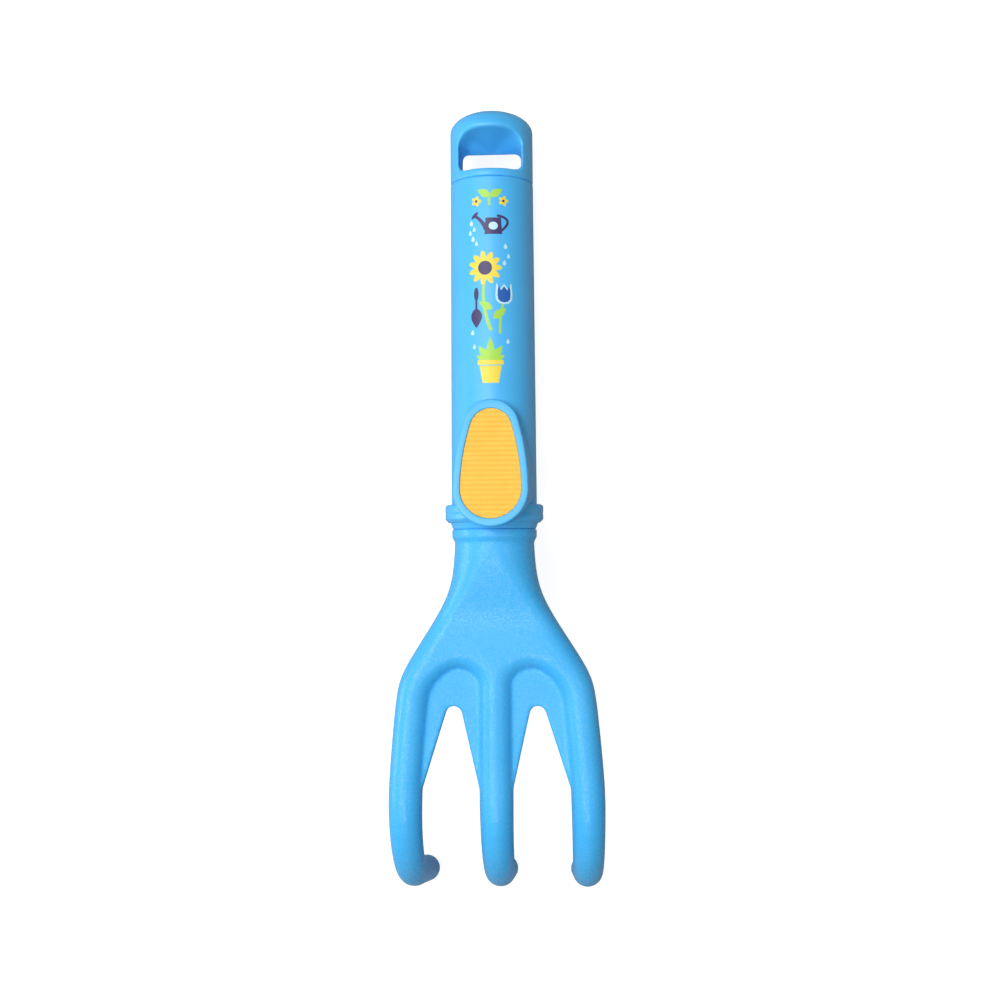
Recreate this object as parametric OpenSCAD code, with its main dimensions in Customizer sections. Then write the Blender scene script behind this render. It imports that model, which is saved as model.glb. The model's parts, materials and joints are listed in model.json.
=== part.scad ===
// Child's hand cultivator: a moulded tube handle with a thumb rest, a hanging cap
// and a three-tined fork that plugs into the front of the handle.
// Modelled along Y with the cap at +Y, then laid on its tine tips and cap as it rests on a table.

/* [Handle] */
// Length of the handle from the fork joint to the cap seam
handle_len = 114.8; // [90:0.1:150]
// Diameter of the grip just behind the flange
grip_front_d = 28.2; // [26:0.1:31]
// Diameter of the grip at the cap seam
grip_rear_d = 27.5; // [25.5:0.1:30]
// Diameter of the bore through the handle
bore_d = 23; // [20:0.1:24]
// Diameter of the flange behind the fork joint
flange_d = 32.4; // [30:0.1:40]
// Length of the flange
flange_len = 5.9; // [4:0.1:10]
// Length of the narrow lip in front of the flange
lip_len = 2.2; // [1.5:0.1:5]
// How much the lip's radius grows towards the flange
lip_taper = 0.5; // [0.1:0.1:1]
// Depth of the groove round the middle of the flange
flange_groove = 0.3; // [0.1:0.05:0.6]
// Bevel on the edges of the flange
flange_bevel = 1.1; // [0.3:0.1:1.5]

/* [Thumb rest] */
// Length of the rest's sloping face
rest_len = 41.8; // [36:0.1:60]
// Width of the face across its wide front end
rest_w = 24.2; // [20:0.1:25]
// Width of the face across its narrow rear end
rest_rear_w = 18; // [14:0.1:20]
// Radius of the face's long sides
rest_side_r = 82; // [60:1:200]
// Set-back of the face from the fork joint
rest_at = 0.6; // [0.3:0.1:4]
// Height of the face above the handle's axis at its front end
rest_front_h = 22; // [19:0.1:26]
// Height of the face above the handle's axis at its rear end
rest_rear_h = 14.8; // [14.5:0.1:16]
// Width of the rim round the pad
rest_rim = 2.2; // [1.2:0.1:3]
// Extra width of the rim in front of the pad
rim_front = 0.3; // [0:0.1:1]
// Extra width of the rim behind the pad
rim_rear = 0.8; // [0:0.1:2]
// Bevel on the rim's outer edge
rest_bevel = 0.6; // [0.2:0.1:1]

/* [Thumb pad] */
// Depth of the pocket that holds the pad
pocket_depth = 1.5; // [1.2:0.1:2]
// How far the rib crests lie below the rim
pad_recess = 0.2; // [0.1:0.05:0.5]
// Distance from rib to rib
rib_pitch = 1.6; // [1.2:0.1:3]
// Depth of the valleys between the ribs
rib_depth = 0.35; // [0.1:0.05:0.6]
// Diameter of the two pegs under the pad
peg_d = 3.2; // [2.4:0.1:4]
// Length of the pegs
peg_len = 2.4; // [1.5:0.1:3]

/* [End cap] */
// Length of the cap from the seam to the top of its dome
cap_len = 24.4; // [22:0.1:40]
// Height of the dome
dome_h = 7; // [5:0.1:9]
// Width of the hanging slot at its narrowest, in the middle of the cap
slot_w = 19.7; // [14:0.1:20]
// Height of the hanging slot at its narrowest
slot_h = 7.2; // [6:0.1:10]
// Distance from the seam to the floor of the slot
slot_floor = 3.3; // [3:0.1:6]
// Radius of the slot's corners
slot_corner = 2; // [1:0.1:3]
// Width of the slot's mouths at the outside of the cap
mouth_w = 21; // [18:0.1:22]
// Rise of the arched mouths above the top of the slot
mouth_rise = 7; // [2:0.1:8]
// Fall of the mouths below the floor of the slot
mouth_fall = 0.6; // [0.2:0.1:1.5]
// Radius of the mouths' arched top
mouth_arch_r = 16.5; // [12:0.1:20]
// Bevel on both sides of the seam
seam_bevel = 0.4; // [0.1:0.05:0.8]
// Length of the plug inside the handle
plug_len = 12; // [8:0.5:20]
// Wall of the plug
plug_wall = 1.8; // [1.2:0.1:3]

/* [Fork joint] */
// Diameter of the ring at the fork's root
ring_d = 27.9; // [26.8:0.1:32]
// Length of the ring
ring_len = 3.8; // [3.5:0.1:8]
// Length of the ring's taper towards the neck
ring_taper = 2.1; // [1:0.1:3]
// Length of the spigot inside the handle
spigot_len = 24; // [16:0.5:40]
// Wall of the hollow spigot
spigot_wall = 2.4; // [1.6:0.1:4]
// Depth of the core past the joint, into the neck
core_depth = 8; // [2:0.5:10]

/* [Fork] */
// Diameter of the neck
neck_d = 26.4; // [24:0.1:27]
// Where the sides flare, from the joint
flare_at = 20.3; // [17:0.1:22]
// Length over which the flare sets in
flare_soft = 8.7; // [4:0.1:12]
// Where the shoulders of the outer tines are
shoulder_at = 48.5; // [46:0.1:54]
// Length over which the shoulders turn
shoulder_soft = 5.7; // [2:0.1:7]
// Width across the shoulders
shoulder_w = 66.2; // [60:0.1:70]
// Width across the outer tines
fork_w = 72.4; // [68:0.1:84]
// Where the top starts to slope down from the neck
wedge_at = 7.7; // [7:0.1:12]
// Slope of the top from the neck down to the palm
wedge_angle = 19; // [16:0.5:24]
// Diameter of the tines
tine_d = 11.2; // [9.5:0.1:12]
// Diameter of the tine tips
tip_d = 9.4; // [7:0.1:9.5]
// Where the palm ends between the tines, from the joint
crotch_at = 45.4; // [44:0.1:47]
// Fall of the palm's arched edge to the middle tine
crotch_in = 5.4; // [3:0.1:7]
// Fall of the palm's arched edge to an outer tine
crotch_out = 9.8; // [6:0.1:11]
// Thickness of the webs
web_t = 4; // [2.5:0.1:5]
// Where the gap in each web starts, from the joint
gap_at = 57.9; // [56:0.1:62]
// Radius at the top of each gap
gap_r = 2.7; // [1.5:0.1:3]
// Where the webs run out into the tines
web_end = 84.8; // [80:0.1:90]
// Where the tines start to bend
bend_at = 90.2; // [90:0.1:110]
// Radius of the bend, to the middle of the tine
bend_r = 27; // [20:0.5:34]
// Angle of the bend
bend_angle = 80; // [65:1:88]
// Drop of the tips below the handle's axis
tine_drop = 50; // [42:0.5:60]
// How far the outer tips lean in
tip_lean = 1.7; // [0:0.1:4]

/* [Fits] */
// Clearance of the plug, the spigot and the pad in their seats
slip = 0.1; // [0.05:0.01:0.2]
// Height of the snap beads on the plug and the spigot
bead_h = 0.4; // [0.2:0.05:0.6]
// Half-width of the snap beads
bead_half = 1; // [0.6:0.1:1.5]
// Distance of each snap bead from the end of its spigot
bead_from_end = 4; // [3:0.1:6]

/* [Hidden] */
$fn = 96;
eps = 0.01;

bore_r = bore_d / 2;
grip_front_r = grip_front_d / 2;
cap_r = grip_rear_d / 2;
flange_r = flange_d / 2;
flange_end = lip_len + flange_len;
lip_r = ring_d / 2;
plug_r = bore_r - slip;
plug_bead = handle_len - plug_len + bead_from_end;
spigot_bead = spigot_len - bead_from_end;

rest_tilt = asin((rest_front_h - rest_rear_h) / rest_len);
rest_base_z = 3;
rest_base_half = sqrt(pow(grip_front_r, 2) - pow(rest_base_z, 2)) - slip;
rest_flare = 2 * rest_base_half / rest_w;
slab = 0.2;
pad_inset = rest_rim + slip;
rim_ends = rim_front + rim_rear;
pad_len = rest_len - rim_ends - 2 * pad_inset;
rib_count = floor(pad_len / rib_pitch);
peg_at = [rest_w / 2, rest_w];

dome_at = handle_len + cap_len - dome_h;
slot_low = handle_len + slot_floor;
slot_top = slot_low + slot_h;

neck_r = neck_d / 2;
tine_r = tine_d / 2;
tip_r = tip_d / 2;
crease = asin(web_t / tine_d);
crease_r = tine_r * cos(crease);
root_s = ring_len / 2;
ring_step = 0.15;
flare_slope = (shoulder_w / 2 - neck_r) / flare_run(shoulder_at);
spread_slope = (fork_w - shoulder_w) / 2 / (web_end - shoulder_at);
wedge_slope = tan(wedge_angle);
wedge_end = wedge_at + (neck_r - tine_r) / wedge_slope;
wedge_soft = 4;
edge_run = 24;
bend_len = bend_r * bend_angle * PI / 180;
leg_len = (tine_drop - bend_r * (1 - cos(bend_angle))) / sin(bend_angle);
path_end = bend_at + bend_len + leg_len;
tip_out = bend_at + bend_r * sin(bend_angle) + leg_len * cos(bend_angle);

// Resting tilt: the tips and the cap's dome touch the table together
function dome_reach(t) = norm([cap_r * cos(t), dome_h * sin(t)]);
function rest_step(t) = asin((tine_drop * cos(t) + tip_r - dome_reach(t)) / (tip_out + dome_at));
function settle(t, steps) = steps == 0 ? t : settle(rest_step(t), steps - 1);
lie = settle(0, 8);
lift = tine_drop * cos(lie) - tip_out * sin(lie) + tip_r;
front_y = -tip_out * cos(lie) - tine_drop * sin(lie) - tip_r;
rear_y = dome_at * cos(lie) + norm([dome_h * cos(lie), cap_r * sin(lie)]);

// Lays the tool down on the table, centred over the origin
module lie_down() {
    translate([0, -(front_y + rear_y) / 2, lift])
        rotate([-lie, 0, 0])
            children();
}

// Turns a half profile of [radius, distance along the handle] about the handle's axis
module turned(points) {
    rotate([-90, 0, 0])
        rotate_extrude()
            polygon(points);
}

// Grip radius at a distance along the handle
function grip_r(u) =
    grip_front_r + (cap_r - grip_front_r) * (u - flange_end) / (handle_len - flange_end);

// Half profile of a snap bead that stands out of a radius
function bead(r, at, height) =
    [[r, at - bead_half], [r + height, at - bead_half / 3],
     [r + height, at + bead_half / 3], [r, at + bead_half]];

// Egg outline of the thumb rest, its wide end at the front and its narrow end drawn in by short.
// A point of its right half is found by the angle that the side faces there.
function egg_point(a, inset, short) =
    let(front = rest_w / 2,
        rear = rest_rear_w / 2,
        run = rest_len - short - front - rear,
        side_y = (pow(rest_side_r - front, 2) - pow(rest_side_r - rear, 2) + run * run) / (2 * run),
        side_x = sqrt(pow(rest_side_r - front, 2) - side_y * side_y),
        arc = a < atan2(-side_y, side_x) ? [0, 0, front]
            : a > atan2(run - side_y, side_x) ? [0, run, rear]
                                              : [-side_x, side_y, rest_side_r])
    [arc[0] + (arc[2] - inset) * cos(a), front + arc[1] + (arc[2] - inset) * sin(a)];
module egg(inset, short = 0) {
    step = 360 / $fn;
    half = [for (a = [step / 2 - 90 : step : 90]) egg_point(a, inset, short)];
    polygon(concat(half, [for (i = [len(half) - 1 : -1 : 0]) [-half[i][0], half[i][1]]]));
}

// Carries children from the rest's own frame, Z square to its face, onto the handle
module on_rest() {
    translate([0, rest_at, rest_front_h])
        rotate([-rest_tilt, 0, 0])
            children();
}

// Wedge that carries the thumb pad, flaring down to the sides of the grip
module rest_wedge() {
    hull($fn = 48) {
        on_rest()
            translate([0, 0, -slab])
                linear_extrude(slab)
                    egg(rest_bevel);
        on_rest()
            translate([0, 0, -rest_bevel - slab])
                linear_extrude(slab)
                    egg(0);
        translate([0, rest_at, rest_base_z])
            linear_extrude(slab)
                scale([rest_flare, 1])
                    egg(0);
    }
}

module handle() {
    groove_at = lip_len + flange_len / 2;
    color("deepskyblue")
        lie_down()
            difference() {
                union() {
                    turned([
                        [0, 0],
                        [lip_r, 0],
                        [lip_r + lip_taper, lip_len],
                        [flange_r - flange_bevel, lip_len],
                        [flange_r, lip_len + flange_bevel],
                        [flange_r, groove_at - flange_groove],
                        [flange_r - flange_groove, groove_at],
                        [flange_r, groove_at + flange_groove],
                        [flange_r, flange_end - flange_bevel / 2],
                        [flange_r - flange_bevel / 2, flange_end],
                        [grip_front_r, flange_end],
                        [grip_r(handle_len - seam_bevel), handle_len - seam_bevel],
                        [cap_r - seam_bevel, handle_len],
                        [0, handle_len]
                    ]);
                    rest_wedge();
                }
                turned(concat(
                    [[0, -eps], [bore_r, -eps]],
                    bead(bore_r, spigot_bead, bead_h),
                    bead(bore_r, plug_bead, bead_h),
                    [[bore_r, handle_len + eps], [0, handle_len + eps]]
                ));
                on_rest()
                    translate([0, 0, -pocket_depth])
                        linear_extrude(pocket_depth + rest_front_h)
                            translate([0, rim_front])
                                egg(rest_rim, rim_ends);
                for (at = peg_at)
                    on_rest()
                        translate([0, at, -pocket_depth - peg_len - slip])
                            cylinder(d = peg_d + 2 * slip, h = peg_len + pocket_depth);
            }
}

module thumb_pad() {
    pad_low = -pocket_depth;
    valley = -pad_recess - rib_depth;
    color("gold")
        lie_down()
            on_rest() {
                intersection() {
                    translate([0, 0, pad_low])
                        linear_extrude(pocket_depth)
                            translate([0, rim_front])
                                egg(pad_inset, rim_ends);
                    rotate([90, 0, 90])
                        linear_extrude(rest_w, center = true)
                            polygon(concat(
                                [[0, pad_low - 1], [0, valley]],
                                [for (i = [0 : rib_count], t = [0, 0.25, 0.5, 0.75])
                                    [rim_front + pad_inset + (i + t) * rib_pitch,
                                     valley + rib_depth * (1 - cos(360 * t)) / 2]],
                                [[rest_len, valley], [rest_len, pad_low - 1]]
                            ));
                }
                for (at = peg_at)
                    translate([0, at, pad_low - peg_len])
                        cylinder(d = peg_d, h = peg_len + eps);
            }
}

// Hanging slot in plan at its narrowest
module slot_outline() {
    translate([-slot_w / 2 + slot_corner, slot_low + slot_corner])
        offset(slot_corner)
            square([slot_w - 2 * slot_corner, slot_h - 2 * slot_corner]);
}

// Mouth of the slot in plan at the outside of the cap: straight sides under an arched top
module mouth_outline() {
    low = slot_low - mouth_fall;
    crown = slot_top + mouth_rise;
    offset(slot_corner)
        offset(-slot_corner)
            intersection() {
                translate([-mouth_w / 2, low])
                    square([mouth_w, crown - low]);
                translate([0, crown - mouth_arch_r])
                    circle(mouth_arch_r);
            }
}

// Half of the slot, opening out from the middle of the cap to its outside
module slot_half() {
    hull($fn = 48) {
        translate([0, 0, -slab])
            linear_extrude(slab)
                slot_outline();
        translate([0, 0, cap_r])
            linear_extrude(slab)
                mouth_outline();
    }
}

module end_cap() {
    core_r = plug_r - plug_wall;
    plug_end = handle_len - plug_len;
    color("deepskyblue")
        lie_down()
            difference() {
                turned(concat(
                    [[0, plug_end], [plug_r - bead_h, plug_end], [plug_r, plug_end + bead_half]],
                    bead(plug_r, plug_bead, bead_h),
                    [[plug_r, handle_len], [cap_r - seam_bevel, handle_len],
                     [cap_r, handle_len + seam_bevel]],
                    [for (a = [0 : 6 : 90]) [cap_r * cos(a), dome_at + dome_h * sin(a)]]
                ));
                turned([
                    [0, plug_end - eps],
                    [core_r, plug_end - eps],
                    [core_r, handle_len - plug_wall],
                    [0, handle_len - plug_wall]
                ]);
                for (side = [0, 1])
                    mirror([0, 0, side])
                        slot_half();
            }
}

// Fork, measured by s, the distance from the joint towards the tips along a tine's middle.
// A point is [x, s, h]: across the fork, along it and out of its middle surface.

// Soft corner: 0 well before t = 0, t well past it
function knee(t, soft) = (t + sqrt(t * t + soft * soft)) / 2;
function ease(t) = t <= 0 ? 0 : t >= 1 ? 1 : t * t * (3 - 2 * t);

// Half-width of the fork in plan and the direction of its side
function flare_run(s) = knee(s - flare_at, flare_soft) - knee(ring_len - flare_at, flare_soft);
function plan_half(s) =
    neck_r
    + flare_slope * flare_run(s)
    - (flare_slope - spread_slope) * knee(s - shoulder_at, shoulder_soft)
    - spread_slope * knee(s - web_end, shoulder_soft);
function plan_lean(s) = atan(plan_half(s + 0.5) - plan_half(s - 0.5));

// Half-thickness of the palm and the radius of its rounded edge
function palm_half(s) =
    neck_r - wedge_slope * (knee(s - wedge_at, wedge_soft) - knee(s - wedge_end, wedge_soft));
function edge_r(s) = neck_r + (tine_r - neck_r) * ease((s - ring_len) / edge_run);
function round_off(q) = let(c = 1 - min(max(q, 0), 1)) sqrt(1 - c * c);

// Radius and middle of a tine, side -1, 0 or 1 across the fork
function tine_run(s) = min(max((s - bend_at) / (path_end - bend_at), 0), 1);
function tine_radius(s) =
    s > path_end ? sqrt(pow(tip_r, 2) - pow(s - path_end, 2))
                 : tine_r + (tip_r - tine_r) * tine_run(s);
function tine_x(side, s) = side * (plan_half(s) - tine_r - tip_lean * pow(tine_run(s), 2));

// Gap in each web: a round top and straight edges that run out at the tines' sides
gap_x = tine_x(1, gap_at) / 2;
gap_run = web_end - gap_at - gap_r;
function gap_lean(reach) = acos(gap_r / norm([reach, gap_run])) - atan2(gap_run, reach);
lean_in = gap_lean(gap_x - tine_r);
lean_out = gap_lean(tine_x(1, web_end) - tine_r - gap_x);
function gap_half(t, lean) =
    t < gap_r * (1 - sin(lean)) ? sqrt(max(0, t * (2 * gap_r - t)))
                                : gap_r / cos(lean) + (t - gap_r) * tan(lean);

// Distance of a palm point from the arched crease round a web, two quarter ellipses
function crease_gap(x, s) =
    let(mid = gap_x * plan_half(s) / plan_half(gap_at),
        outer = abs(x) > mid,
        half = outer ? tine_x(1, s) - crease_r - mid : mid - crease_r,
        fall = outer ? crotch_out : crotch_in,
        a = abs(abs(x) - mid) / half,
        b = max(0, (crotch_at + fall - s) / fall),
        q = norm([a, b]))
    s < crotch_at - tine_r ? tine_r : (q - 1) * q / norm([a / half, b / fall]);

// Height of the palm, rounded off at its sides and round the webs
function palm_height(x, s) =
    let(to_side = (plan_half(s) - abs(x)) * cos(plan_lean(s)) / edge_r(s),
        to_web = 1 - crease_r / tine_r + crease_gap(x, s) / tine_r)
    palm_half(s) * min(round_off(to_side), round_off(to_web));

// Columns of the skin are [angle round the tine, share of the web], share 1 being on the tine
web_cols = 4;
tine_cols = 10;
function web_share(k) = sin(90 * k / web_cols);
left_web = [for (k = [0 : web_cols - 1]) [180 - crease, web_share(k)]];
right_web = [for (k = [web_cols - 1 : -1 : 0]) [crease, web_share(k)]];
outer_arc = [for (i = [0 : tine_cols]) [(180 - crease) * (1 - i / (tine_cols + 1)), 1]];
middle_arc = [for (i = [0 : tine_cols]) [180 - crease - (180 - 2 * crease) * i / tine_cols, 1]];
function columns(side) =
    side == 0 ? concat(left_web, middle_arc, right_web)
  : side > 0 ? concat(left_web, outer_arc)
             : concat([for (i = [tine_cols : -1 : 0]) [180 - outer_arc[i][0], 1]], right_web);

// Where the palm's arched edge crosses a column
function arch_at(side, col) =
    crotch_at + (side == 0 ? crotch_in : crotch_out) * (1 - sqrt(1 - pow(col[1], 2)));

// Edge of a web beside a tine: the line between two tines, or the edge of the gap
function web_edge(side, dir, s) =
    let(gap = side == 0 ? dir : side)
    s <= gap_at ? gap * gap_x * plan_half(s) / plan_half(gap_at)
                : gap * gap_x - dir * gap_half(s - gap_at, side == 0 ? lean_in : lean_out);

// A skin point on a tine or its web, where the webs have run out the web columns wrap the tine
function wrap_angle(col) =
    let(a = crease * (1 + web_cols * asin(col[1]) / 90) / (web_cols + 1)) col[0] > 90 ? 180 - a : a;
function tine_point(side, col, s) =
    let(mid = tine_x(side, s),
        r = tine_radius(s),
        dir = col[0] > 90 ? -1 : 1,
        a = col[1] < 1 && s > web_end ? wrap_angle(col) : col[0],
        x = mid + r * cos(a))
    col[1] == 1 || s > web_end ? [x, s, r * sin(a)]
                               : [x + (web_edge(side, dir, s) - x) * (1 - col[1]), s, web_t / 2];

// A skin point on the palm, drawn in from the arched edge towards the neck
function palm_point(side, col, s) =
    let(arch_s = arch_at(side, col),
        x = tine_point(side, col, arch_s)[0] * plan_half(s) / plan_half(arch_s))
    [x, s, palm_height(x, s)];

// Rows of the skin: [0, share] on the palm, [1, share] on the webs above the gap, [2, s] below it
edge_share = 0.12;
palm_rows = [for (i = [0 : 13]) [0, (1 - edge_share) * i / 14]];
edge_rows = [for (a = [0, 20, 40, 60, 76, 90]) [0, 1 - edge_share * (1 - sin(a))]];
web_rows = [[1, 0.5], [1, 1]];
gap_rows = [for (a = [25, 50, 75]) [2, gap_at + gap_r * (1 - cos(a))]];
gap_last = gap_rows[2][1];
fin_rows = [for (i = [1 : 5]) [2, gap_last + (web_end - gap_last) * i / 5]];
bend_rows = [for (i = [0 : 9]) [2, bend_at + bend_len * i / 9]];
leg_rows = [for (i = [1, 2]) [2, bend_at + bend_len + leg_len * i / 2]];
tip_rows = [for (a = [25, 50, 70, 84]) [2, path_end + tip_r * sin(a)]];
rows = concat(palm_rows, edge_rows, web_rows, gap_rows, fin_rows,
              [[2, web_end + 1]], bend_rows, leg_rows, tip_rows);
split_row = len(palm_rows) + len(edge_rows) + len(web_rows) - 1;
last_row = len(rows) - 1;

function row_s(row, arch_s) =
    row[0] == 0 ? root_s + (arch_s - root_s) * row[1]
  : row[0] == 1 ? arch_s + (gap_at - arch_s) * row[1]
                : row[1];
function skin_point(side, col, row) =
    let(s = row_s(row, arch_at(side, col)))
    row[0] == 0 ? palm_point(side, col, s) : tine_point(side, col, s);

// The point half-way down the side of a tine, or of its web
function side_point(side, dir, row) =
    let(s = row_s(row, arch_at(side, [0, 0])))
    dir == side ? skin_point(side, [90 - 90 * dir, 1], row)
  : row[0] == 2 && s > web_end ? [tine_x(side, s) + dir * tine_radius(s), s, 0]
                               : [web_edge(side, dir, s), s, 0];

// Bends the flat fork down along the tines' path
function bent(p, turn = 1) =
    let(a = min(max(p[1] - bend_at, 0) / bend_r * 180 / PI, bend_angle),
        run = min(p[1], bend_at) + bend_r * sin(a),
        leg = max(0, p[1] - bend_at - bend_len),
        drop = bend_r * (1 - cos(a)))
    [p[0],
     -run - leg * cos(a) - turn * p[2] * sin(a),
     -drop - leg * sin(a) + turn * p[2] * cos(a)];

// One ring: over the top from left to right, and back underneath
function ring(side, row) =
    let(top = [for (col = columns(side)) skin_point(side, col, row)])
    concat([for (p = top) bent(p)],
           [bent(side_point(side, 1, row))],
           [for (i = [len(top) - 1 : -1 : 0]) bent(top[i], -1)],
           [bent(side_point(side, -1, row))]);

// Point numbers: each tine has its own rings, and above the gaps the tines share their edges
sides = [-1, 0, 1];
tops = [for (side = sides) len(columns(side))];
sizes = [for (n = tops) 2 * n + 2];
starts = [0, sizes[0] * len(rows), (sizes[0] + sizes[1]) * len(rows)];
function point_no(f, j, k) =
    let(n = tops[f], m = tops[1])
    j > split_row || f == 1 ? starts[f] + j * sizes[f] + k % sizes[f]
  : f == 0 && k >= n - 1 && k <= n + 1 ? point_no(1, j, [0, 2 * m + 1, 2 * m][k - n + 1])
  : f == 2 && (k % sizes[2] == 0 || k == 2 * n || k == 2 * n + 1)
      ? point_no(1, j, k == 2 * n ? m + 1 : k == 2 * n + 1 ? m : m - 1)
  : starts[f] + j * sizes[f] + k % sizes[f];

// True where a ring's step k is the wall of a gap, which is closed off only below the split
function is_wall(f, k) =
    let(n = tops[f], right = k == n - 1 || k == n, left = k == 2 * n || k == 2 * n + 1)
    (f < 2 && right) || (f > 0 && left);

// Closed skin of the palm, the webs and the three tines
module fork_skin() {
    points = [for (side = sides, row = rows) each ring(side, row)];
    skin = [
        for (f = [0 : 2], j = [0 : last_row - 1], k = [0 : sizes[f] - 1])
            if (j >= split_row || !is_wall(f, k))
                let(a = point_no(f, j, k),
                    b = point_no(f, j, k + 1),
                    c = point_no(f, j + 1, k + 1),
                    d = point_no(f, j + 1, k))
                each [[a, b, c], [a, c, d]]
    ];
    tips = [for (f = [0 : 2]) [for (k = [0 : sizes[f] - 1]) point_no(f, last_row, k)]];
    root = concat(
        [point_no(0, 0, sizes[0] - 1)],
        [for (f = [0 : 2], k = [(f == 0 ? 0 : 1) : tops[f] - 1]) point_no(f, 0, k)],
        [point_no(2, 0, tops[2])],
        [for (f = [2 : -1 : 0], k = [tops[f] + 1 : 2 * tops[f] - (f == 0 ? 0 : 1)]) point_no(f, 0, k)]
    );
    polyhedron(points, concat(skin, tips, [[for (i = [len(root) - 1 : -1 : 0]) root[i]]]));
}

module fork_head() {
    core_r = plug_r - spigot_wall;
    ring_r = ring_d / 2;
    color("deepskyblue")
        lie_down()
            difference() {
                union() {
                    fork_skin();
                    turned(concat(
                        [[0, -ring_len], [neck_r + ring_step, -ring_len],
                         [ring_r, ring_taper - ring_len], [ring_r, -seam_bevel],
                         [ring_r - seam_bevel, 0], [plug_r, 0]],
                        bead(plug_r, spigot_bead, bead_h),
                        [[plug_r, spigot_len - bead_half], [plug_r - bead_h, spigot_len],
                         [0, spigot_len]]
                    ));
                }
                turned([
                    [0, -core_depth],
                    [core_r - spigot_wall, -core_depth],
                    [core_r, 0],
                    [core_r, spigot_len + eps],
                    [0, spigot_len + eps]
                ]);
            }
}

handle();
thumb_pad();
end_cap();
fork_head();
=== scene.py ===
import bmesh
import bpy
import json
from math import asin, atan2, cos, pi, radians, sin, sqrt, tan
from mathutils import Matrix, Vector


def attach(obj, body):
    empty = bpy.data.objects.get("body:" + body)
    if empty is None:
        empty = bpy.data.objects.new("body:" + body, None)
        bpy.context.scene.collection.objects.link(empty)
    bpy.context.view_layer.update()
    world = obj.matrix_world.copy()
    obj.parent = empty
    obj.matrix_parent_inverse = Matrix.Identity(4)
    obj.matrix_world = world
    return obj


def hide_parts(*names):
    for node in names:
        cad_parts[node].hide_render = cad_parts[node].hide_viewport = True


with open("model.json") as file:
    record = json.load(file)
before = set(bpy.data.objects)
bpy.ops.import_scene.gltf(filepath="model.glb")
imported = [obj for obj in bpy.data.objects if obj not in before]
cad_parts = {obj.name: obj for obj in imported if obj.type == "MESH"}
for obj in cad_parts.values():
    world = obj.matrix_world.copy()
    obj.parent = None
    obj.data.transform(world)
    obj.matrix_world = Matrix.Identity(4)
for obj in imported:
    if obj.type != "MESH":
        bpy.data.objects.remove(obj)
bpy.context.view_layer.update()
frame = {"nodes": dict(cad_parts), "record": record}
mm = 0.001  # the pieces and the camera are in millimetres, the floor and the lamps in metres

# The tool's own frame: Y along the handle from the fork joint to the cap, Z out of the thumb rest
slotFromJoint = 121.7
hangSlot = frame["record"]["mounts"][0]
toolUp = Vector(hangSlot["axis"]).normalized()
toolAlong = toolUp.cross(Vector((1, 0, 0)))
layDown = Matrix((Vector((1, 0, 0)), toolAlong, toolUp)).transposed().to_4x4()
layDown.translation = Vector(hangSlot["pos_m"]) - toolAlong * slotFromJoint * mm

weld = {"cad": 0.001, "turned": 0.002, "bevelled": 0.005}  # points closer than this are merged
edgeAngle = 25  # edges sharper than this are rounded, in degrees
smoothPull = 0.5  # how far one round of smoothing pulls a point towards its neighbours


def makeActive(obj):
    if bpy.context.mode != "OBJECT":
        bpy.ops.object.mode_set(mode="OBJECT")
    bpy.ops.object.select_all(action="DESELECT")
    obj.select_set(True)
    bpy.context.view_layer.objects.active = obj


def startEdit(obj):
    makeActive(obj)
    bpy.ops.object.mode_set(mode="EDIT")
    bpy.ops.mesh.select_all(action="SELECT")


def endEdit():
    bpy.ops.object.mode_set(mode="OBJECT")


def mergeClose(obj, gap):
    startEdit(obj)
    bpy.ops.mesh.remove_doubles(threshold=gap * mm)
    endEdit()


def faceOutward(obj):
    startEdit(obj)
    bpy.ops.mesh.normals_make_consistent(inside=False)
    endEdit()


def applyModifier(obj, kind, **settings):
    makeActive(obj)
    mod = obj.modifiers.new(kind.title(), kind)
    for key, value in settings.items():
        setattr(mod, key, value)
    bpy.ops.object.modifier_apply(modifier=mod.name)


def roundEdges(obj, width, steps):
    applyModifier(obj, "BEVEL", width=width * mm, segments=steps, limit_method="ANGLE",
                  angle_limit=radians(edgeAngle))
    mergeClose(obj, weld["bevelled"])


def smoothOut(obj, rounds, **where):
    applyModifier(obj, "SMOOTH", factor=smoothPull, iterations=rounds, **where)


def addCircle(name, sides, radius=1.0, filled=False):
    bpy.ops.object.select_all(action="DESELECT")
    bpy.ops.mesh.primitive_circle_add(vertices=sides, radius=radius,
                                      fill_type="NGON" if filled else "NOTHING")
    obj = bpy.context.active_object
    obj.name = name
    return obj


def finishPiece(obj, material, place=None, smoothAngle=35):
    if place is not None:
        obj.data.transform(place)
    obj.data.materials.clear()
    obj.data.materials.append(material)
    makeActive(obj)
    bpy.ops.object.shade_smooth_by_angle(angle=radians(smoothAngle))
    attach(obj, "root")


# Materials: a slow drift between two tints, and a fine grain in gloss and relief
tintFrom, tintTo = 0.35, 0.65  # where in the drift the tint changes
driftDetail, grainDetail = 2.0, 1.0


def linear(hexColour):
    parts = [int(hexColour[i:i + 2], 16) / 255 for i in (1, 3, 5)]
    return tuple(c / 12.92 if c <= 0.04045 else ((c + 0.055) / 1.055) ** 2.4 for c in parts) + (1,)


def setSockets(tree, node, **sockets):  # plain values, or outputs of other nodes
    for key, value in sockets.items():
        socket = node.inputs[key.replace("_", " ")]
        if isinstance(value, bpy.types.NodeSocket):
            tree.links.new(value, socket)
        else:
            socket.default_value = value


def addNode(tree, kind, settings=(), **sockets):
    node = tree.nodes.new(kind)
    for key, value in dict(settings).items():
        setattr(node, key, value)
    setSockets(tree, node, **sockets)
    return node


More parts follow.
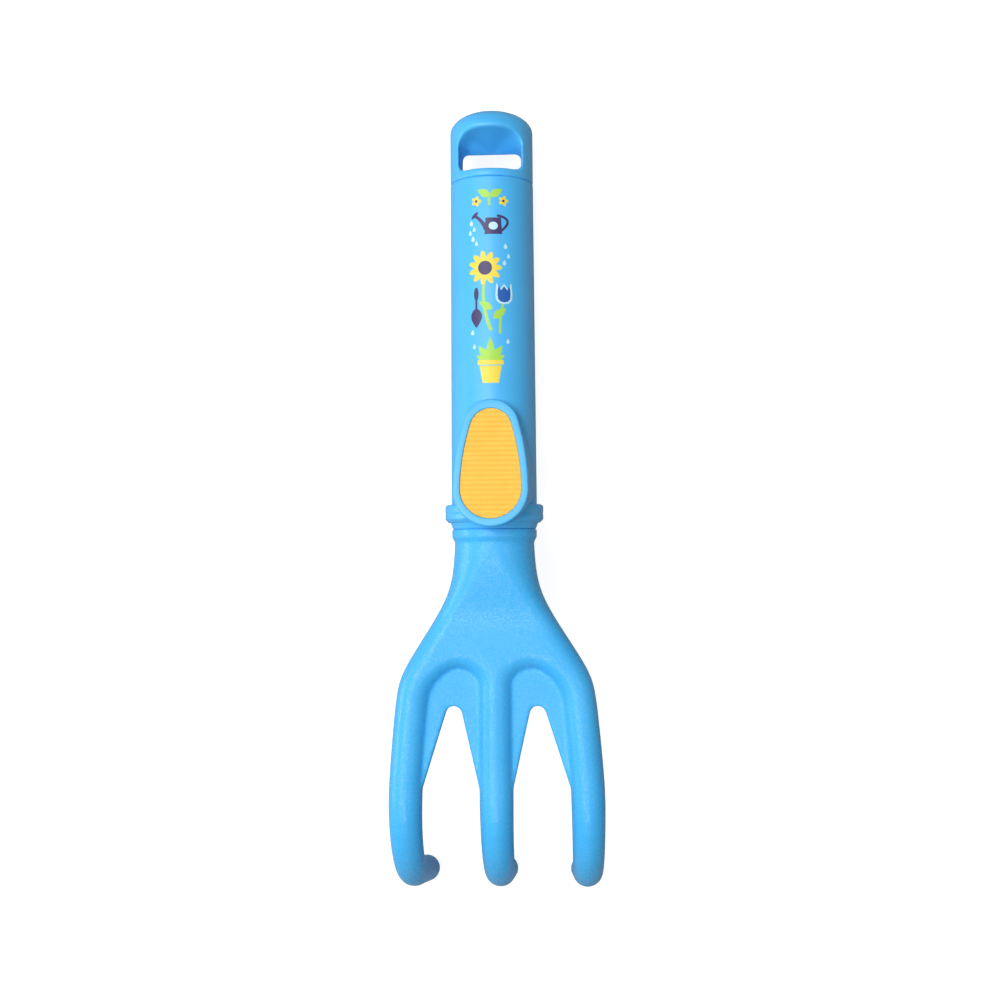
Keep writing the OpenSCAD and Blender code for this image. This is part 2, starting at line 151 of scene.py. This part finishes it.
def mouldedMaterial(name, look):
    material = bpy.data.materials.new(name)
    material.use_nodes = True
    tree = material.node_tree
    skin = tree.nodes["Principled BSDF"]
    spot = addNode(tree, "ShaderNodeTexCoord").outputs["Object"]
    drift = addNode(tree, "ShaderNodeTexNoise", Vector=spot, Scale=1 / (look["driftSize"] * mm),
                    Detail=driftDetail)
    tint = addNode(tree, "ShaderNodeValToRGB", Fac=drift.outputs["Fac"])
    for stop, at, colour in zip(tint.color_ramp.elements, (tintFrom, tintTo), ("deep", "pale")):
        stop.position = at
        stop.color = linear(look[colour])
    noise = addNode(tree, "ShaderNodeTexNoise", Vector=spot, Scale=1 / (look["grainSize"] * mm),
                    Detail=grainDetail)
    grain = noise.outputs["Fac"]
    gloss = addNode(tree, "ShaderNodeMapRange", Value=grain,
                    To_Min=look["roughness"] - look["roughSpread"],
                    To_Max=look["roughness"] + look["roughSpread"])
    relief = addNode(tree, "ShaderNodeBump", Height=grain, Distance=look["relief"] * mm)
    setSockets(tree, skin, Base_Color=tint.outputs["Color"], Roughness=gloss.outputs["Result"],
               Normal=relief.outputs["Normal"], IOR=look["ior"])
    if "glint" in look:
        addGlints(tree, skin, grain, look["glint"])
    return material


# Shiny specks on the grain: points of light where a lamp is mirrored
def addGlints(tree, skin, grain, glint):
    shine = addNode(tree, "ShaderNodeMapRange", Value=grain, From_Min=glint["from"],
                    From_Max=glint["to"], To_Max=glint["weight"])
    facets = addNode(tree, "ShaderNodeBump", Height=grain, Distance=glint["relief"] * mm)
    setSockets(tree, skin, Coat_Weight=shine.outputs["Result"], Coat_Roughness=glint["roughness"],
               Coat_Normal=facets.outputs["Normal"], Specular_IOR_Level=glint["between"])


# Polypropylene from a polished mould: even light blue with broad satin highlights
satinBlue = mouldedMaterial("satinPolypropylene", {
    "deep": "#4DBAFA", "pale": "#54BEFB", "driftSize": 24, "grainSize": 0.6,
    "roughness": 0.4, "roughSpread": 0.04, "relief": 0.004, "ior": 1.49,
})
# Polypropylene from a spark-eroded mould: fine pits that glitter in the highlights
# The pits are drawn a little coarser than real ones, so that they show
sparkBlue = mouldedMaterial("sparkErodedPolypropylene", {
    "deep": "#43B5F6", "pale": "#4AB9F8", "driftSize": 26, "grainSize": 0.6,
    "roughness": 0.46, "roughSpread": 0.06, "relief": 0.04, "ior": 1.49,
    "glint": {"from": 0.46, "to": 0.62, "weight": 0.85, "roughness": 0.3, "relief": 0.08,
              "between": 0.25},
})
# Thermoplastic rubber: dull warm yellow, no clear highlight, a dusty bloom
yellowRubber = mouldedMaterial("thermoplasticRubber", {
    "deep": "#FAC145", "pale": "#FCC64C", "driftSize": 5, "grainSize": 0.4,
    "roughness": 0.65, "roughSpread": 0.06, "relief": 0.012, "ior": 1.5,
})
print("materials made")

# Handle: a tube turned from a profile, with a lip and a grooved flange at the fork joint
handle = {
    "length": 114.8, "gripFront": 28.2, "gripRear": 27.5, "bore": 23.0,
    "lipFront": 27.6, "lipBack": 28.9, "lipLength": 2.2,
    "flange": 32.4, "flangeLength": 5.9, "flangeBevel": 1.1, "groove": 0.25,
    "seamBevel": 0.35, "edgeRound": 0.25, "edgeSteps": 3, "sides": 160,
}
flangeEnd = handle["lipLength"] + handle["flangeLength"]


def gripRadius(along):
    share = (along - flangeEnd) / (handle["length"] - flangeEnd)
    return (handle["gripFront"] + (handle["gripRear"] - handle["gripFront"]) * share) / 2


def turnProfile(name, profile, sides):  # extrudes a ring through points of distance and radius
    obj = addCircle(name, sides, profile[0][1] * mm)
    start = Matrix.Translation((0, profile[0][0] * mm, 0))
    obj.data.transform(start @ Matrix.Rotation(pi / 2, 4, "X"))
    startEdit(obj)
    for (at, r), (nextAt, nextR) in zip(profile, profile[1:]):
        step = (0, (nextAt - at) * mm, 0)
        bpy.ops.mesh.extrude_edges_move(TRANSFORM_OT_translate={"value": step})
        bpy.ops.transform.resize(value=(nextR / r, 1, nextR / r),
                                 center_override=(0, nextAt * mm, 0))
    endEdit()
    mergeClose(obj, weld["turned"])
    faceOutward(obj)
    return obj


def makeHandle(size):
    boreR, flangeR, frontR = size["bore"] / 2, size["flange"] / 2, size["lipFront"] / 2
    bevel, groove, seam = size["flangeBevel"], size["groove"], size["seamBevel"]
    flangeAt, end = size["lipLength"], size["length"]
    grooveAt = (flangeAt + flangeEnd) / 2
    obj = turnProfile("handle_tube", [
        (0, boreR), (0, frontR - seam), (seam, frontR), (flangeAt, size["lipBack"] / 2),
        (flangeAt, flangeR - bevel), (flangeAt + bevel, flangeR), (grooveAt - groove, flangeR),
        (grooveAt, flangeR - groove), (grooveAt + groove, flangeR),
        (flangeEnd - bevel / 2, flangeR), (flangeEnd, flangeR - bevel / 2),
        (flangeEnd, size["gripFront"] / 2), (end - seam, gripRadius(end - seam)),
        (end, size["gripRear"] / 2 - seam), (end, boreR), (0, boreR),
    ], size["sides"])
    roundEdges(obj, size["edgeRound"], size["edgeSteps"])
    return obj


handleTube = makeHandle(handle)
finishPiece(handleTube, satinBlue, layDown)
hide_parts("handle")
print("handle turned")

# Thumb rest: an egg-shaped face with a rounded rim and a pocket, on a wedge that meets the grip
rest = {
    "length": 41.8, "width": 24.2, "rearWidth": 18.0, "sideRadius": 82.0,
    "setBack": 0.6, "frontHeight": 22.0, "rearHeight": 14.8,
    "rim": 2.2, "rimFront": 0.3, "rimRear": 0.8, "rimRound": 0.6,
    "pocket": 1.5, "pocketRound": 0.3, "footHeight": 3.0, "slip": 0.1,
    "points": 192, "roundSteps": 6, "smoothAngle": 30,
}
restTilt = asin((rest["frontHeight"] - rest["rearHeight"]) / rest["length"])
restPlace = (Matrix.Translation((0, rest["setBack"] * mm, rest["frontHeight"] * mm))
             @ Matrix.Rotation(-restTilt, 4, "X"))


# Where the egg's outline faces the angle turn, its narrow end drawn in by short
def eggPoint(turn, inset, short):
    front, rear, wide = rest["width"] / 2, rest["rearWidth"] / 2, rest["sideRadius"]
    run = rest["length"] - short - front - rear
    sideY = ((wide - front) ** 2 - (wide - rear) ** 2 + run ** 2) / (2 * run)
    sideX = sqrt((wide - front) ** 2 - sideY ** 2)
    mirror = 1 if cos(turn) > 0 else -1
    facing = atan2(sin(turn), abs(cos(turn)))
    x, y, r = -sideX, sideY, wide
    if facing < atan2(-sideY, sideX):
        x, y, r = 0, 0, front
    elif facing > atan2(run - sideY, sideX):
        x, y, r = 0, run, rear
    return mirror * (x + (r - inset) * cos(facing)), front + y + (r - inset) * sin(facing)


def eggRing(inset, height, short=0, ahead=0):
    turns = [2 * pi * (i + 0.5) / rest["points"] for i in range(rest["points"])]
    spots = [eggPoint(turn, inset, short) for turn in turns]
    return [Vector((x * mm, (y + ahead) * mm, height * mm)) for x, y in spots]


def padRing(inset, height):  # the rim is wider before and behind the pad
    return eggRing(inset, height, rest["rimFront"] + rest["rimRear"], rest["rimFront"])


def addEgg(name, ring):
    obj = addCircle(name, len(ring), filled=True)
    for vertex, spot in zip(obj.data.vertices, ring):
        vertex.co = spot
    return obj


def extrudeRing(obj, ring, nextRing):  # extrudes the selected loop and shapes it to the next ring
    bpy.ops.mesh.extrude_edges_move()
    work = bmesh.from_edit_mesh(obj.data)
    for vertex in [v for v in work.verts if v.select]:
        nearest = min(range(len(ring)), key=lambda i: (ring[i] - vertex.co).length_squared)
        vertex.co = nextRing[nearest]
    bmesh.update_edit_mesh(obj.data)


def restRings():
    rim, rimRound, pocketRound = rest["rim"], rest["rimRound"], rest["pocketRound"]
    angles = [pi / 2 * i / rest["roundSteps"] for i in range(rest["roundSteps"] + 1)]
    rings = [padRing(rim, -rest["pocket"])]
    rings += [padRing(rim - pocketRound * (1 - cos(a)), pocketRound * (sin(a) - 1)) for a in angles]
    rings += [eggRing(rimRound * (1 - sin(a)), rimRound * (cos(a) - 1)) for a in angles]
    rings = [[restPlace @ spot for spot in ring] for ring in rings]
    # the foot lies level inside the grip, as wide as the tube there
    footHalf = sqrt((handle["gripFront"] / 2) ** 2 - rest["footHeight"] ** 2) - rest["slip"]
    widen = Matrix.Diagonal((2 * footHalf / rest["width"], 1, 1))
    forward = Vector((0, rest["setBack"] * mm, 0))
    return rings + [[widen @ spot + forward for spot in eggRing(0, rest["footHeight"])]]


def makeRest():
    rings = restRings()
    obj = addEgg("thumb_rest", rings[0])
    startEdit(obj)
    bpy.ops.mesh.region_to_loop()
    for ring, nextRing in zip(rings, rings[1:]):
        extrudeRing(obj, ring, nextRing)
    bpy.ops.mesh.edge_face_add()
    endEdit()
    faceOutward(obj)
    return obj


thumbRest = makeRest()
finishPiece(thumbRest, satinBlue, layDown, rest["smoothAngle"])
print("thumb rest shaped")

# Thumb pad: cut across into fine strips, raised into ribs and pressed into the pocket
pad = {"recess": 0.2, "ribPitch": 1.6, "ribDepth": 0.22, "cutsPerRib": 8, "smoothAngle": 30}


def ribHeight(along):
    start = rest["rimFront"] + rest["rim"] + rest["slip"]
    crest = (1 - cos(2 * pi * (along / mm - start) / pad["ribPitch"])) / 2
    return (-pad["recess"] - pad["ribDepth"] * (1 - crest)) * mm


def makePad():
    obj = addEgg("thumb_pad_ribbed", padRing(rest["rim"] + rest["slip"], 0))
    startEdit(obj)
    step = pad["ribPitch"] / pad["cutsPerRib"]
    for cut in range(1, int(rest["length"] / step)):
        bpy.ops.mesh.select_all(action="SELECT")
        bpy.ops.mesh.bisect(plane_co=(0, cut * step * mm, 0), plane_no=(0, 1, 0))
    bpy.ops.mesh.select_all(action="SELECT")
    down = (0, 0, -rest["pocket"] * mm)
    bpy.ops.mesh.extrude_region_move(TRANSFORM_OT_translate={"value": down})
    endEdit()
    for vertex in obj.data.vertices:
        if vertex.co.z > -rest["pocket"] * mm / 2:
            vertex.co.z = ribHeight(vertex.co.y)
    faceOutward(obj)
    return obj


thumbPad = makePad()
finishPiece(thumbPad, yellowRubber, layDown @ restPlace, pad["smoothAngle"])
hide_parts("thumb_pad")
print("thumb pad ribbed")

# Hanging cap: softened, the slot's mouths filled out to flat arches with wide round edges
cap = {
    "voxel": 0.3, "softRounds": 4, "smoothAngle": 180,
    "archFoot": 10.5, "archHalf": 10.5, "archRise": 7.0, "archPower": 3.5, "archLower": 0.87,
    "archFade": 1.55, "skin": 3.0, "skinReach": 2.0, "flank": 0.25, "flankFade": 0.3,
    "edgeFrom": 1.3, "edgeTo": 20.5, "edgeCrown": 14.5, "edgeHalf": 12.5, "edgeDepth": 3.5,
    "edgeRounds": 60,
}


def softCopy(node, name, size):  # the moulded form with its edges softened
    obj = bpy.data.objects.new(name, frame["nodes"][node].data.copy())
    bpy.context.scene.collection.objects.link(obj)
    mergeClose(obj, weld["cad"])
    applyModifier(obj, "REMESH", mode="VOXEL", voxel_size=size["voxel"] * mm)
    smoothOut(obj, size["softRounds"])
    return obj


def within(value):  # held between 0 and 1
    return min(1, max(0, value))


def fillArches(obj):  # pushes the corners of the arches out and their crowns down
    stand = layDown.inverted()
    power, fade, footAt = cap["archPower"], cap["archFade"], handle["length"] + cap["archFoot"]
    for vertex in obj.data.vertices:
        x, along, up = (stand @ vertex.co) / mm
        side, rise = abs(x) / cap["archHalf"], (along - footAt) / cap["archRise"]
        reach = sqrt(side ** 2 + rise ** 2)
        if rise <= 0 or reach >= fade:
            continue
        radius = sqrt(x ** 2 + up ** 2)
        outside = within(1 + (radius - handle["gripRear"] / 2) / cap["skin"])
        # the sides of the cap stay as they are
        facing = within((abs(up) / radius - cap["flank"]) / cap["flankFade"])
        sideways = within(cap["skinReach"] * outside) * (1 - facing)
        share = min(1, (fade - reach) / (fade - 1)) * (1 - sideways)
        grow = ((side / reach) ** power + (rise / reach) ** power) ** (-1 / power)
        newX = max(-radius, min(radius, x * (1 + (grow - 1) * share)))
        newRise = rise * (1 + (grow * cap["archLower"] - 1) * share)
        # points on the skin keep their distance from the axis, points in the slot their height
        onSkin = sqrt(max(radius ** 2 - newX ** 2, 0)) * (1 if up > 0 else -1)
        newUp = up + (onSkin - up) * outside
        spot = Vector((newX, footAt + newRise * cap["archRise"], newUp))
        vertex.co = layDown @ (spot * mm)


def roundMouths(obj):
    group = obj.vertex_groups.new(name="mouths")
    stand = layDown.inverted()
    inner = handle["gripRear"] / 2 - cap["edgeDepth"]
    for vertex in obj.data.vertices:
        x, along, up = (stand @ vertex.co) / mm
        rise = along - handle["length"]
        outside = sqrt(x * x + up * up) > inner or rise > cap["edgeCrown"]
        if cap["edgeFrom"] < rise < cap["edgeTo"] and abs(x) < cap["edgeHalf"] and outside:
            group.add([vertex.index], 1.0, "REPLACE")
    smoothOut(obj, cap["edgeRounds"], vertex_group=group.name)


endCap = softCopy("end_cap", "hang_cap", cap)
fillArches(endCap)
roundMouths(endCap)
finishPiece(endCap, satinBlue, smoothAngle=cap["smoothAngle"])
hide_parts("end_cap")
print("cap softened")

# Fork: softened, but its ring keeps crisp edges, so that is turned and joined on
fork = {
    "voxel": 0.57, "softRounds": 4, "smoothAngle": 180,
    "ringRadius": 13.97, "neckRadius": 13.22, "innerRadius": 12.0,
    "ringStraight": 2.5, "ringLength": 3.9, "ringBevel": 0.3, "edgeRound": 0.15, "edgeSteps": 2,
}


def makeRing(size):
    inner, outer, bevel = size["innerRadius"], size["ringRadius"], size["ringBevel"]
    obj = turnProfile("fork_ring", [
        (0, inner), (0, outer - bevel), (-bevel, outer), (-size["ringStraight"], outer),
        (-size["ringLength"], size["neckRadius"]), (-size["ringLength"], inner), (0, inner),
    ], handle["sides"])
    roundEdges(obj, size["edgeRound"], size["edgeSteps"])
    obj.data.transform(layDown)
    return obj


forkHead = softCopy("fork_head", "fork_moulding", fork)
forkRing = makeRing(fork)
makeActive(forkHead)
forkRing.select_set(True)
bpy.ops.object.join()
finishPiece(forkHead, sparkBlue, smoothAngle=fork["smoothAngle"])
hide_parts("fork_head")
print("fork softened")

# Print: flat garden motifs in five inks, laid round the top of the grip
inks = {
    "plum": "#3F3466", "yellow": "#F2DA45", "lime": "#A9DC4C", "mist": "#C4ECFA", "blue": "#1D5EB6",
}
printing = {"film": 0.03, "layerStep": 0.015, "topLayer": 2, "cut": 0.7, "halfWidth": 8.4,
            "smoothAngle": 60}


# Outlines in millimetres: a is measured round the grip, b along it from the fork joint
def shifted(points, a, b, turn=0.0):
    c, s = cos(radians(turn)), sin(radians(turn))
    return [(a + c * p - s * q, b + s * p + c * q) for p, q in points]


def oval(a, b, width, height, turn=0.0, count=36):
    turns = [2 * pi * i / count for i in range(count)]
    return shifted([(width / 2 * cos(t), height / 2 * sin(t)) for t in turns], a, b, turn)


def flower(a, b, inner, outer, petals, count=120):
    reach = [inner + (outer - inner) * abs(cos(petals * pi * i / count)) for i in range(count)]
    turns = [2 * pi * i / count for i in range(count)]
    return [(a + r * cos(t), b + r * sin(t)) for r, t in zip(reach, turns)]


def leaf(a, b, length, width, turn, belly=0.8, count=14):
    shares = [i / count for i in range(count + 1)]
    side = [(length * t, width / 2 * sin(pi * t ** belly)) for t in shares]
    return shifted(side + [(p, -q) for p, q in reversed(side[1:-1])], a, b, turn)


def drop(a, b, size, girth=0.45, taper=1.3, count=28):
    turns = [2 * pi * i / count for i in range(count)]
    points = [(size * girth * sin(t) * sin(t / 2) ** taper, size / 2 * cos(t)) for t in turns]
    return shifted(points, a, b)


def ribbon(path, startWidth, endWidth):  # a band along a path
    left, right = [], []
    for i, (p, q) in enumerate(path):
        before, after = path[max(i - 1, 0)], path[min(i + 1, len(path) - 1)]
        run = Vector((after[0] - before[0], after[1] - before[1])).normalized()
        half = (startWidth + (endWidth - startWidth) * i / (len(path) - 1)) / 2
        left.append((p - run.y * half, q + run.x * half))
        right.append((p + run.y * half, q - run.x * half))
    return left + right[::-1]


def bow(start, end, bulge, count=14):  # points on a soft curve between two points
    runX, runY = end[0] - start[0], end[1] - start[1]
    length = sqrt(runX ** 2 + runY ** 2)
    points = []
    for i in range(count + 1):
        t = i / count
        side = bulge * 4 * t * (1 - t)
        points.append((start[0] + runX * t - runY / length * side,
                       start[1] + runY * t + runX / length * side))
    return points


def tulip(a, b, width, height):
    half = [(0, 0), (0.28, 0.04), (0.46, 0.2), (0.5, 0.45),
            (0.47, 0.75), (0.42, 1.0), (0.24, 0.7), (0, 0.94)]
    right = [(p * width, q * height) for p, q in half]
    return shifted(right + [(-p, q) for p, q in reversed(right[1:-1])], a, b)


def motifs():  # ink, layer and outline, from the thumb rest up to the cap
    # a pot of leaves
    yield "yellow", 1, shifted([(-2.6, 0), (2.6, 0), (3.6, 5.6), (-3.6, 5.6)], 0, 47)
    yield "yellow", 1, shifted([(-4.2, 5.9), (4.2, 5.9), (4.2, 7.4), (-4.2, 7.4)], 0, 47)
    for turn, length in ((90, 8), (52, 6.5), (128, 6.5), (22, 5), (158, 5)):
        yield "lime", 0, leaf(0, 54, length, 2.6, turn)
    # a sunflower
    yield "lime", 0, ribbon(bow((0.3, 64), (-1.6, 82), 1.4), 1.1, 0.8)
    yield "lime", 0, leaf(1.0, 68, 5.4, 2.6, 38)
    yield "lime", 0, leaf(0.7, 71, 5.0, 2.4, 150)
    yield "yellow", 1, flower(-1.6, 84.5, 3.4, 5.6, 11)
    yield "plum", 2, oval(-1.6, 84.5, 4.6, 4.6)
    # a tulip
    yield "lime", 0, ribbon(bow((3.2, 63), (4.6, 74), 0.5), 0.9, 0.7)
    yield "mist", 1, tulip(4.6, 72.6, 5.8, 7.0)
    yield "blue", 2, tulip(4.6, 73.2, 4.4, 5.6)
    # a trowel
    yield "plum", 1, leaf(-4.6, 71.5, 6.6, 3.8, -90)
    yield "plum", 1, ribbon([(-4.6, 71), (-4.6, 74)], 0.7, 0.7)
    yield "plum", 1, oval(-4.6, 76.0, 1.6, 4.4)
    # a watering can
    yield "plum", 1, shifted([(-2.9, 0), (2.9, 0), (2.5, 5.4), (-2.5, 5.4)], 1.2, 95.5)
    yield "plum", 1, ribbon(bow((-1.2, 97), (-4.6, 101.4), -0.5), 1.5, 0.9)
    yield "plum", 1, oval(-4.9, 101.8, 3.0, 1.1, 42)
    yield "plum", 1, ribbon(bow((3.7, 96.5), (2.4, 101.6), -3.0), 0.8, 0.8)
    yield "mist", 2, oval(1.2, 98.2, 3.0, 2.6)
    # water drops
    for a, b, size in ((-6.2, 99.4, 1.9), (-5.2, 97.4, 1.7), (-6.6, 96.2, 1.7), (-5.6, 94.2, 1.9),
                       (-4.4, 92.6, 1.6), (5.2, 91.6, 1.9), (6.2, 88.4, 1.6), (4.8, 86.2, 1.8),
                       (-6.0, 63.6, 1.8), (5.8, 60.6, 1.7), (-5.4, 59.0, 1.6)):
        yield "mist", 1, drop(a, b, size)
    # a seedling between two small flowers
    yield "lime", 0, ribbon(bow((0, 105), (0.2, 108.4), 0.2), 0.8, 0.7)
    yield "lime", 0, leaf(0.2, 108, 4.6, 2.6, 28)
    yield "lime", 0, leaf(0.2, 108, 4.6, 2.6, 152)
    for a in (-4.4, 4.6):
        yield "yellow", 1, flower(a, 106.4, 0.9, 1.7, 5, 60)
        yield "plum", 2, oval(a, 106.4, 0.9, 0.9, 0, 16)


def makeInk(ink, shapes):
    parts = []
    for layer, outline in shapes:
        obj = addCircle("print_" + ink, len(outline), filled=True)
        height = printing["film"] + printing["layerStep"] * layer
        for vertex, (a, b) in zip(obj.data.vertices, outline):
            vertex.co = (a * mm, b * mm, height * mm)
        parts.append(obj)
    obj = parts[0]
    makeActive(obj)
    if len(parts) > 1:
        for part in parts:
            part.select_set(True)
        bpy.ops.object.join()
    startEdit(obj)
    bpy.ops.mesh.quads_convert_to_tris()
    cuts = int(printing["halfWidth"] / printing["cut"])
    for cut in range(-cuts, cuts + 1):
        bpy.ops.mesh.select_all(action="SELECT")
        bpy.ops.mesh.bisect(plane_co=(cut * printing["cut"] * mm, 0, 0), plane_no=(1, 0, 0))
    endEdit()
    # bend the flat film round the grip
    for vertex in obj.data.vertices:
        r = gripRadius(vertex.co.y / mm) * mm
        turn = vertex.co.x / r
        reach = r + vertex.co.z
        vertex.co = (reach * sin(turn), vertex.co.y, reach * cos(turn))
    faceOutward(obj)
    depth = printing["film"] + printing["topLayer"] * printing["layerStep"]
    applyModifier(obj, "SOLIDIFY", thickness=depth * mm, offset=-1)
    return obj


# Screen-print ink: a thin even film, duller than the plastic, a little mottled by the mesh
for ink, colour in inks.items():
    inkMaterial = mouldedMaterial("screenInk" + ink.title(), {
        "deep": colour, "pale": colour, "driftSize": 2, "grainSize": 0.4,
        "roughness": 0.45, "roughSpread": 0.05, "relief": 0.004, "ior": 1.5,
    })
    inkPiece = makeInk(ink, [(layer, outline) for name, layer, outline in motifs() if name == ink])
    finishPiece(inkPiece, inkMaterial, layDown, printing["smoothAngle"])
print("print laid on")

# Studio: white floor and backdrop, soft main light from the upper left
studio = {
    "floorSize": 6.0, "floorTone": 0.4, "floorRough": 0.9, "floorGlow": 0.86,
    "fadeFrom": 0.35, "fadeTo": 1.2, "ambient": 0.05, "mirrorShare": 0.04,
    "lamps": {
        "strip": {"at": (-0.46, 0.1, 1.0), "width": 0.7, "length": 0.22, "power": 4.4},
        "small": {"at": (-0.07, -0.28, 1.0), "width": 0.16, "length": 0.16, "power": 2.1},
        "high": {"at": (-0.2, 0.4, 1.0), "width": 0.3, "length": 0.3, "power": 2.5},
        "rear": {"at": (-0.08, 0.66, 0.93), "width": 0.3, "length": 0.3, "power": 1.3},
        "back": {"at": (-0.6, 0.6, 0.8), "width": 0.5, "length": 0.5, "power": 1.6},
        "side": {"at": (-1.0, 0.0, 0.2), "width": 0.35, "length": 0.35, "power": 3.0},
        "right": {"at": (0.6, 0.1, 1.0), "width": 0.5, "length": 0.5, "power": 1.6},
        "front": {"at": (0.0, -1.0, 0.3), "width": 0.4, "length": 0.4, "power": 0.4},
    },
}
white = (1, 1, 1, 1)


# How much of the white a ray sees: all for the camera and through glass, a share in reflections
def sightRays(tree):
    path = addNode(tree, "ShaderNodeLightPath")
    sight = path.outputs["Is Camera Ray"]
    for kind, share in (("Is Transmission Ray", 1.0), ("Is Glossy Ray", studio["mirrorShare"])):
        total = addNode(tree, "ShaderNodeMath", {"operation": "MULTIPLY_ADD"})
        tree.links.new(path.outputs[kind], total.inputs[0])
        total.inputs[1].default_value = share
        tree.links.new(sight, total.inputs[2])
        sight = total.outputs["Value"]
    return sight


def makeFloor():
    bpy.ops.object.select_all(action="DESELECT")
    bpy.ops.mesh.primitive_plane_add(size=studio["floorSize"])
    floor = bpy.context.active_object
    floor.name = "floor"
    material = bpy.data.materials.new("paperFloor")
    material.use_nodes = True
    tree = material.node_tree
    spot = addNode(tree, "ShaderNodeTexCoord").outputs["Object"]
    away = addNode(tree, "ShaderNodeVectorMath", {"operation": "LENGTH"}, Vector=spot)
    # the floor fades into the white backdrop away from the tool
    glow = addNode(tree, "ShaderNodeMapRange", Value=away.outputs["Value"],
                   From_Min=studio["fadeFrom"], From_Max=studio["fadeTo"],
                   To_Min=studio["floorGlow"], To_Max=1.0)
    lit = addNode(tree, "ShaderNodeMapRange", Value=sightRays(tree), To_Min=0.0,
                  To_Max=glow.outputs["Result"])
    setSockets(tree, tree.nodes["Principled BSDF"], Base_Color=(studio["floorTone"],) * 3 + (1,),
               Roughness=studio["floorRough"], Emission_Color=white,
               Emission_Strength=lit.outputs["Result"])
    floor.data.materials.append(material)


def makeWorld():
    world = bpy.data.worlds.new("studio")
    bpy.context.scene.world = world
    world.use_nodes = True
    tree = world.node_tree
    level = addNode(tree, "ShaderNodeMapRange", Value=sightRays(tree), To_Min=studio["ambient"],
                    To_Max=1.0)
    setSockets(tree, tree.nodes["Background"], Color=white, Strength=level.outputs["Result"])


def addLamp(name, lamp):
    data = bpy.data.lights.new(name, "AREA")
    data.shape = "RECTANGLE"
    data.size, data.size_y = lamp["width"], lamp["length"]
    data.energy = lamp["power"]
    obj = bpy.data.objects.new(name, data)
    bpy.context.scene.collection.objects.link(obj)
    obj.location = lamp["at"]
    obj.rotation_euler = (-obj.location).to_track_quat("-Z", "Y").to_euler()


makeFloor()
makeWorld()
for lampName, lamp in studio["lamps"].items():
    addLamp(lampName, lamp)
bpy.context.scene.view_settings.view_transform = "Standard"

# Camera: over the tool, a little to its right, its focal length in pixels of the frame
camera = {
    "spot": (27.36, 60.34, 491.15), "leanX": 3.181, "leanY": 6.625, "roll": -0.975,
    "focal": 1394.3, "frame": 1000, "sensor": 36, "near": 10,
}


def makeCamera(view):
    data = bpy.data.cameras.new("camera")
    data.sensor_width = view["sensor"]
    data.lens = data.sensor_width * view["focal"] / view["frame"]
    data.clip_start = view["near"] * mm
    obj = bpy.data.objects.new("camera", data)
    bpy.context.scene.collection.objects.link(obj)
    lean = (tan(radians(view["leanX"])), tan(radians(view["leanY"])), 1)
    back = Vector(lean).normalized()
    right = Vector((0, 1, 0)).cross(back).normalized()
    upright = Matrix((right, back.cross(right), back)).transposed()
    turn = upright @ Matrix.Rotation(radians(view["roll"]), 3, "Z")
    obj.matrix_world = Matrix.Translation(Vector(view["spot"]) * mm) @ turn.to_4x4()
    bpy.context.scene.camera = obj


makeCamera(camera)
print("studio set")
